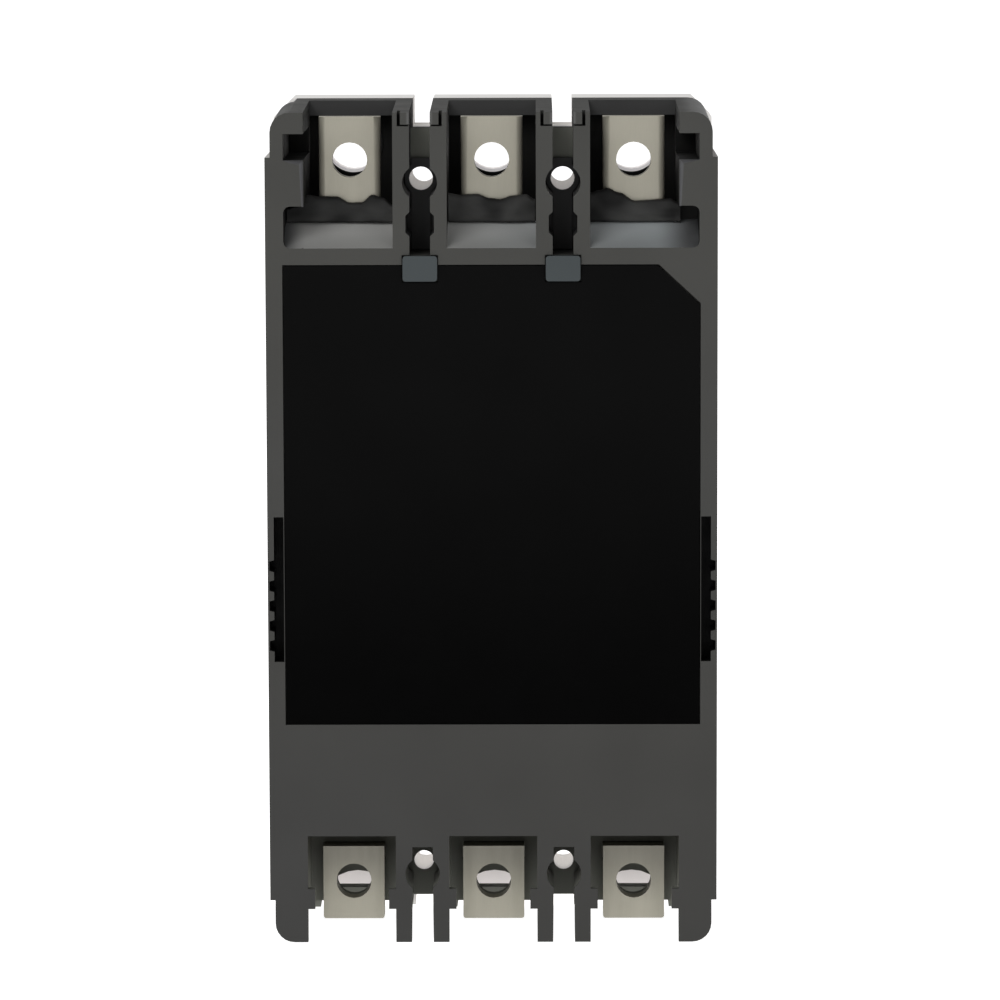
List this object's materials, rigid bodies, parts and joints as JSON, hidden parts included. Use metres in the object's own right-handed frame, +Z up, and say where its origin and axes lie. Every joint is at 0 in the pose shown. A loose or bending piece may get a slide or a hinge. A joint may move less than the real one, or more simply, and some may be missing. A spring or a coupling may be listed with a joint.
{
  "type": "molded case circuit breaker",
  "caption": "Molded case circuit breaker with a dark base, an off-white front, barrier slots between the poles, flat plated terminals and a toggle handle.",
  "frame": {"origin": "centre of the rear mounting face", "axes": "+Z up towards the line terminals, -Y out of the front towards the handle, +X to the right seen from the front"},
  "size_m": [0.139, 0.1267, 0.26],
  "materials": {
    "base_plastic": "dark grey fine-grained thermoset moulding",
    "cover_plastic": "off-white fine-grained moulding",
    "black_plate": "black insulating sheet",
    "clip_plastic": "blue-grey moulding",
    "plated_copper": "tin-nickel plated copper, satin",
    "silver_contact": "silver alloy, satin",
    "braid_copper": "bare copper braid",
    "steel": "zinc plated steel",
    "mechanism_plastic": "black glass-filled moulding",
    "handle_plastic": "black moulding",
    "board_green": "green solder mask",
    "coil_copper": "enamelled copper winding",
    "clear_flap": "clear moulding",
    "button_red": "red moulding",
    "dial_plastic": "ivory moulding"
  },
  "bodies": {
    "frame": {"actuator_coil": "coil_copper", "arc_baffle_1": "black_plate", "arc_baffle_2": "black_plate", "arc_baffle_3": "black_plate", "arc_chute_1": "steel", "arc_chute_2": "steel", "arc_chute_3": "steel", "back_plate": "black_plate", "base_housing": "base_plastic", "channel_liner_1": "black_plate", "channel_liner_2": "black_plate", "circuit_board": "board_green", "cover_screw_1": "steel", "cover_screw_2": "steel", "cover_screw_3": "steel", "cover_screw_4": "steel", "cradle_pin": "steel", "current_transformer_1": "mechanism_plastic", "current_transformer_2": "mechanism_plastic", "current_transformer_3": "mechanism_plastic", "fixed_contact_1": "silver_contact", "fixed_contact_2": "silver_contact", "fixed_contact_3": "silver_contact", "flexible_connector_1": "braid_copper", "flexible_connector_2": "braid_copper", "flexible_connector_3": "braid_copper", "front_cover": "cover_plastic", "latch_pin": "steel", "line_terminal_1": "plated_copper", "line_terminal_2": "plated_copper", "line_terminal_3": "plated_copper", "load_terminal_1": "plated_copper", "load_terminal_2": "plated_copper", "load_terminal_3": "plated_copper", "plate_clip_1": "clip_plastic", "plate_clip_2": "clip_plastic", "side_frame_1": "steel", "side_frame_2": "steel", "trip_unit_case": "mechanism_plastic"},
    "handle": {"toggle_handle": "handle_plastic", "handle_yoke": "steel", "main_spring_1": "steel", "main_spring_2": "steel"},
    "crossbar": {"crossbar": "mechanism_plastic"},
    "cradle": {"cradle": "steel"},
    "upper_link": {"upper_link": "steel"},
    "lower_link": {"lower_link": "steel"},
    "latch": {"latch_lever": "steel"},
    "trip_bar": {"trip_bar": "mechanism_plastic"},
    "trip_button": {"trip_button": "button_red"},
    "plunger": {"actuator_plunger": "steel"},
    "dial_1": {"setting_dial_1": "dial_plastic"},
    "dial_2": {"setting_dial_2": "dial_plastic"},
    "flap": {"dial_flap": "clear_flap"},
    "arm_1": {"contact_arm_1": "silver_contact"},
    "arm_2": {"contact_arm_2": "silver_contact"},
    "arm_3": {"contact_arm_3": "silver_contact"}
  },
  "joints": [
    {"name": "handle_swing", "type": "hinge", "parent": "frame", "child": "handle", "pos_m": [0, -0.063, 0], "axis": [-1, 0, 0], "range_deg": [0, 40]},
    {"name": "crossbar_swing", "type": "hinge", "parent": "frame", "child": "crossbar", "pos_m": [0, -0.038, 0], "axis": [-1, 0, 0], "range_deg": [0, 26]},
    {"name": "cradle_swing", "type": "hinge", "parent": "frame", "child": "cradle", "pos_m": [0, -0.07, 0.028], "axis": [-1, 0, 0], "range_deg": [0, 8]},
    {"name": "upper_link_swing", "type": "hinge", "parent": "cradle", "child": "upper_link", "pos_m": [0, -0.084, 0.008], "axis": [-1, 0, 0], "range_deg": [-43.5, 0]},
    {"name": "lower_link_swing", "type": "hinge", "parent": "crossbar", "child": "lower_link", "pos_m": [0, -0.0472, 0.0106], "axis": [-1, 0, 0], "range_deg": [0, 5]},
    {"name": "trip_bar_swing", "type": "hinge", "parent": "frame", "child": "trip_bar", "pos_m": [0, -0.076, -0.04], "axis": [-1, 0, 0], "range_deg": [0, 12]},
    {"name": "latch_swing", "type": "hinge", "parent": "frame", "child": "latch", "pos_m": [0, -0.062, -0.036], "axis": [-1, 0, 0], "range_deg": [-8, 0]},
    {"name": "trip_button_push", "type": "slide", "parent": "frame", "child": "trip_button", "axis": [0, 1, 0], "range_m": [0, 0.002], "stiffness_N_per_m": 500, "springref_m": -0.0004},
    {"name": "plunger_stroke", "type": "slide", "parent": "frame", "child": "plunger", "axis": [0, 0, 1], "range_m": [0, 0.0025], "stiffness_N_per_m": 150, "springref_m": -0.001},
    {"name": "dial_1_turn", "type": "hinge", "parent": "frame", "child": "dial_1", "pos_m": [-0.012, -0.0995, -0.07], "axis": [0, -1, 0], "range_deg": [-135, 135]},
    {"name": "dial_2_turn", "type": "hinge", "parent": "frame", "child": "dial_2", "pos_m": [0.012, -0.0995, -0.07], "axis": [0, -1, 0], "range_deg": [-135, 135]},
    {"name": "flap_swing", "type": "hinge", "parent": "frame", "child": "flap", "pos_m": [0, -0.1064, -0.057], "axis": [-1, 0, 0], "range_deg": [0, 100]},
    {"name": "arm_1_blow_open", "type": "hinge", "parent": "crossbar", "child": "arm_1", "pos_m": [-0.044, -0.038, 0], "axis": [1, 0, 0], "range_deg": [0, 10], "stiffness_Nm_per_rad": 2, "springref_deg": -5.73},
    {"name": "arm_2_blow_open", "type": "hinge", "parent": "crossbar", "child": "arm_2", "pos_m": [0, -0.038, 0], "axis": [1, 0, 0], "range_deg": [0, 10], "stiffness_Nm_per_rad": 2, "springref_deg": -5.73},
    {"name": "arm_3_blow_open", "type": "hinge", "parent": "crossbar", "child": "arm_3", "pos_m": [0.044, -0.038, 0], "axis": [1, 0, 0], "range_deg": [0, 10], "stiffness_Nm_per_rad": 2, "springref_deg": -5.73}
  ],
  "couplings": [
    {"joint": "crossbar_swing", "follows": "handle_swing", "ratio": 0.65},
    {"joint": "upper_link_swing", "follows": "handle_swing", "ratio": -1.0825},
    {"joint": "lower_link_swing", "follows": "handle_swing", "ratio": 0.1225},
    {"joint": "trip_bar_swing", "follows": "trip_button_push", "rad_per_m": 104.7},
    {"joint": "latch_swing", "follows": "trip_button_push", "rad_per_m": -62.8}
  ]
}
